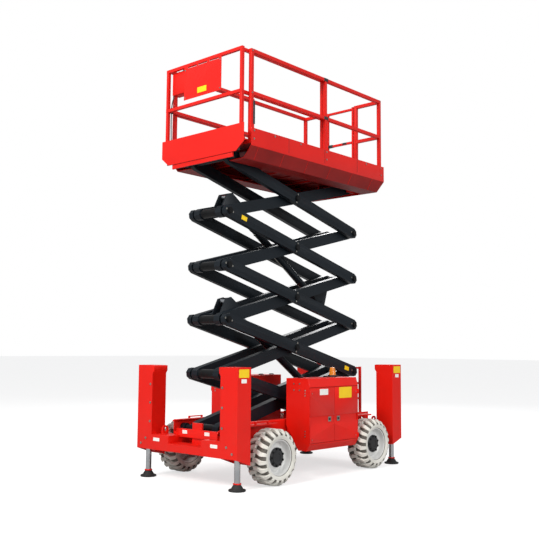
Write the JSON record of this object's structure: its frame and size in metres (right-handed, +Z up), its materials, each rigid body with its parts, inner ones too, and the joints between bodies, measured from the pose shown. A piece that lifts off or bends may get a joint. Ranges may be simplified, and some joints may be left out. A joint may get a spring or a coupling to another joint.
{
  "type": "scissor lift",
  "caption": "Four-wheeled scissor lift with crossed-arm stack, guarded sliding platform, side covers and outriggers.",
  "frame": {"origin": "on the ground under the middle of the wheelbase, on the machine's centre plane", "axes": "+X towards the platform extension's end, +Y to the machine's left, +Z up"},
  "size_m": [3.342, 1.866, 5.2575],
  "materials": {
    "tyre": "moulded",
    "rim": "satin",
    "arm_paint": "satin",
    "chrome_rod": "polished",
    "foot_rubber": "matt",
    "axle_paint": "satin",
    "engine": "matt",
    "beacon_lens": "gloss",
    "control_plastic": "matt",
    "red_paint": "gloss"
  },
  "bodies": {
    "chassis": {"chassis_frame": "red_paint", "front_crossbeam": "red_paint", "rear_crossbeam": "red_paint", "front_axle": "axle_paint", "rear_axle": "axle_paint", "entry_ladder": "red_paint", "cover_left": "red_paint", "cover_right": "red_paint", "engine_block": "engine", "beacon": "beacon_lens", "outrigger_housing_front_left": "red_paint", "outrigger_housing_front_right": "red_paint", "outrigger_housing_rear_left": "red_paint", "outrigger_housing_rear_right": "red_paint"},
    "outer_arms_1": {"outer_arms_1": "arm_paint"},
    "inner_arms_1": {"inner_arms_1": "arm_paint"},
    "outer_arms_2": {"outer_arms_2": "arm_paint"},
    "inner_arms_2": {"inner_arms_2": "arm_paint"},
    "outer_arms_3": {"outer_arms_3": "arm_paint"},
    "inner_arms_3": {"inner_arms_3": "arm_paint"},
    "outer_arms_4": {"outer_arms_4": "arm_paint"},
    "inner_arms_4": {"inner_arms_4": "arm_paint"},
    "outer_arms_5": {"outer_arms_5": "arm_paint"},
    "inner_arms_5": {"inner_arms_5": "arm_paint"},
    "platform": {"main_deck": "red_paint", "left_guardrail": "red_paint", "right_guardrail": "red_paint", "rear_guardrail": "red_paint"},
    "lower_barrel": {"lower_cylinder_barrel": "arm_paint"},
    "lower_rod": {"lower_cylinder_rod": "chrome_rod"},
    "upper_barrel": {"upper_cylinder_barrel": "arm_paint"},
    "upper_rod": {"upper_cylinder_rod": "chrome_rod"},
    "extension": {"extension_deck": "red_paint", "extension_guardrail": "red_paint", "sign_plate": "red_paint", "control_box": "control_plastic"},
    "gate": {"gate": "red_paint"},
    "wheel_front_left": {"tyre_front_left": "tyre", "rim_front_left": "rim"},
    "knuckle_left": {"knuckle_left": "axle_paint"},
    "leg_front_left": {"outrigger_leg_front_left": "chrome_rod", "outrigger_foot_front_left": "foot_rubber"},
    "wheel_front_right": {"tyre_front_right": "tyre", "rim_front_right": "rim"},
    "knuckle_right": {"knuckle_right": "axle_paint"},
    "leg_front_right": {"outrigger_leg_front_right": "chrome_rod", "outrigger_foot_front_right": "foot_rubber"},
    "wheel_rear_left": {"tyre_rear_left": "tyre", "rim_rear_left": "rim"},
    "leg_rear_left": {"outrigger_leg_rear_left": "chrome_rod", "outrigger_foot_rear_left": "foot_rubber"},
    "wheel_rear_right": {"tyre_rear_right": "tyre", "rim_rear_right": "rim"},
    "leg_rear_right": {"outrigger_leg_rear_right": "chrome_rod", "outrigger_foot_rear_right": "foot_rubber"},
    "door_front_left": {"cover_door_front_left": "red_paint"},
    "door_rear_left": {"cover_door_rear_left": "red_paint"},
    "door_front_right": {"cover_door_front_right": "red_paint"},
    "door_rear_right": {"cover_door_rear_right": "red_paint"}
  },
  "joints": [
    {"name": "lift", "type": "hinge", "parent": "chassis", "child": "outer_arms_1", "pos_m": [-1.286, 0, 0.618], "axis": [0, -1, 0], "range_deg": [-9, 30]},
    {"name": "centre_pivot_1", "type": "hinge", "parent": "outer_arms_1", "child": "inner_arms_1", "pos_m": [-0.00107, 0, 0.9515], "axis": [0, -1, 0], "range_deg": [-60.01, 18.01]},
    {"name": "rear_pivot_2", "type": "hinge", "parent": "inner_arms_1", "child": "outer_arms_2", "pos_m": [-1.286, 0, 1.285], "axis": [0, -1, 0], "range_deg": [-18.01, 60.01]},
    {"name": "centre_pivot_2", "type": "hinge", "parent": "outer_arms_2", "child": "inner_arms_2", "pos_m": [-0.00107, 0, 1.6185], "axis": [0, -1, 0], "range_deg": [-60.01, 18.01]},
    {"name": "rear_pivot_3", "type": "hinge", "parent": "inner_arms_2", "child": "outer_arms_3", "pos_m": [-1.286, 0, 1.952], "axis": [0, -1, 0], "range_deg": [-18.01, 60.01]},
    {"name": "centre_pivot_3", "type": "hinge", "parent": "outer_arms_3", "child": "inner_arms_3", "pos_m": [-0.00107, 0, 2.2855], "axis": [0, -1, 0], "range_deg": [-60.01, 18.01]},
    {"name": "rear_pivot_4", "type": "hinge", "parent": "inner_arms_3", "child": "outer_arms_4", "pos_m": [-1.286, 0, 2.61901], "axis": [0, -1, 0], "range_deg": [-18.01, 60.01]},
    {"name": "centre_pivot_4", "type": "hinge", "parent": "outer_arms_4", "child": "inner_arms_4", "pos_m": [-0.00107, 0, 2.95251], "axis": [0, -1, 0], "range_deg": [-60.01, 18.01]},
    {"name": "rear_pivot_5", "type": "hinge", "parent": "inner_arms_4", "child": "outer_arms_5", "pos_m": [-1.286, 0, 3.28601], "axis": [0, -1, 0], "range_deg": [-18.01, 60.01]},
    {"name": "centre_pivot_5", "type": "hinge", "parent": "outer_arms_5", "child": "inner_arms_5", "pos_m": [-0.00107, 0, 3.61951], "axis": [0, -1, 0], "range_deg": [-60.01, 18.01]},
    {"name": "platform_pivot", "type": "hinge", "parent": "inner_arms_5", "child": "platform", "pos_m": [-1.286, 0, 3.95301], "axis": [0, -1, 0], "range_deg": [-9.01, 30.01]},
    {"name": "lower_barrel_hinge", "type": "hinge", "parent": "inner_arms_1", "child": "lower_barrel", "pos_m": [-0.86233, 0, 0.92709], "axis": [0, -1, 0], "range_deg": [-17.79, 59.26]},
    {"name": "lower_rod_slide", "type": "slide", "parent": "lower_barrel", "child": "lower_rod", "axis": [0.8301, 0, 0.5576], "range_m": [-0.3246, 1.0796]},
    {"name": "upper_barrel_hinge", "type": "hinge", "parent": "inner_arms_3", "child": "upper_barrel", "pos_m": [-0.86233, 0, 2.26109], "axis": [0, -1, 0], "range_deg": [-17.79, 59.26]},
    {"name": "upper_rod_slide", "type": "slide", "parent": "upper_barrel", "child": "upper_rod", "axis": [0.8301, 0, 0.5576], "range_m": [-0.3246, 1.0796]},
    {"name": "extension_slide", "type": "slide", "parent": "platform", "child": "extension", "axis": [1, 0, 0], "range_m": [0, 1]},
    {"name": "gate_hinge", "type": "hinge", "parent": "platform", "child": "gate", "pos_m": [-1.42, 0.231, 4.6], "axis": [0, 0, 1], "range_deg": [0, 90]},
    {"name": "steer_left", "type": "hinge", "parent": "chassis", "child": "knuckle_left", "pos_m": [0.9865, 0.56, 0.33], "axis": [0, 0, 1], "range_deg": [-25, 25]},
    {"name": "wheel_front_left", "type": "hinge", "parent": "knuckle_left", "child": "wheel_front_left", "pos_m": [0.9865, 0.783, 0.33], "axis": [0, 1, 0], "continuous": true},
    {"name": "leg_front_left", "type": "slide", "parent": "chassis", "child": "leg_front_left", "axis": [0, 0, 1], "range_m": [0, 0.26]},
    {"name": "steer_right", "type": "hinge", "parent": "chassis", "child": "knuckle_right", "pos_m": [0.9865, -0.56, 0.33], "axis": [0, 0, 1], "range_deg": [-25, 25]},
    {"name": "wheel_front_right", "type": "hinge", "parent": "knuckle_right", "child": "wheel_front_right", "pos_m": [0.9865, -0.783, 0.33], "axis": [0, 1, 0], "continuous": true},
    {"name": "leg_front_right", "type": "slide", "parent": "chassis", "child": "leg_front_right", "axis": [0, 0, 1], "range_m": [0, 0.26]},
    {"name": "wheel_rear_left", "type": "hinge", "parent": "chassis", "child": "wheel_rear_left", "pos_m": [-0.9865, 0.783, 0.33], "axis": [0, 1, 0], "continuous": true},
    {"name": "leg_rear_left", "type": "slide", "parent": "chassis", "child": "leg_rear_left", "axis": [0, 0, 1], "range_m": [0, 0.26]},
    {"name": "wheel_rear_right", "type": "hinge", "parent": "chassis", "child": "wheel_rear_right", "pos_m": [-0.9865, -0.783, 0.33], "axis": [0, 1, 0], "continuous": true},
    {"name": "leg_rear_right", "type": "slide", "parent": "chassis", "child": "leg_rear_right", "axis": [0, 0, 1], "range_m": [0, 0.26]},
    {"name": "door_front_left", "type": "hinge", "parent": "chassis", "child": "door_front_left", "pos_m": [0.385, 0.8776, 0.775], "axis": [0, 0, -1], "range_deg": [0, 100]},
    {"name": "door_rear_left", "type": "hinge", "parent": "chassis", "child": "door_rear_left", "pos_m": [-0.626, 0.8776, 0.775], "axis": [0, 0, 1], "range_deg": [0, 100]},
    {"name": "door_front_right", "type": "hinge", "parent": "chassis", "child": "door_front_right", "pos_m": [0.385, -0.8776, 0.775], "axis": [0, 0, 1], "range_deg": [0, 100]},
    {"name": "door_rear_right", "type": "hinge", "parent": "chassis", "child": "door_rear_right", "pos_m": [-0.626, -0.8776, 0.775], "axis": [0, 0, -1], "range_deg": [0, 100]}
  ],
  "couplings": [
    {"joint": "centre_pivot_1", "follows": "lift", "ratio": -2},
    {"joint": "rear_pivot_2", "follows": "lift", "ratio": 2},
    {"joint": "centre_pivot_2", "follows": "lift", "ratio": -2},
    {"joint": "rear_pivot_3", "follows": "lift", "ratio": 2},
    {"joint": "centre_pivot_3", "follows": "lift", "ratio": -2},
    {"joint": "rear_pivot_4", "follows": "lift", "ratio": 2},
    {"joint": "centre_pivot_4", "follows": "lift", "ratio": -2},
    {"joint": "rear_pivot_5", "follows": "lift", "ratio": 2},
    {"joint": "centre_pivot_5", "follows": "lift", "ratio": -2},
    {"joint": "platform_pivot", "follows": "lift", "ratio": 1},
    {"joint": "lower_barrel_hinge", "follows": "lift", "ratio": 1.975},
    {"joint": "lower_rod_slide", "follows": "lift", "m_per_rad": 2.06},
    {"joint": "upper_barrel_hinge", "follows": "lift", "ratio": 1.975},
    {"joint": "upper_rod_slide", "follows": "lift", "m_per_rad": 2.06}
  ]
}
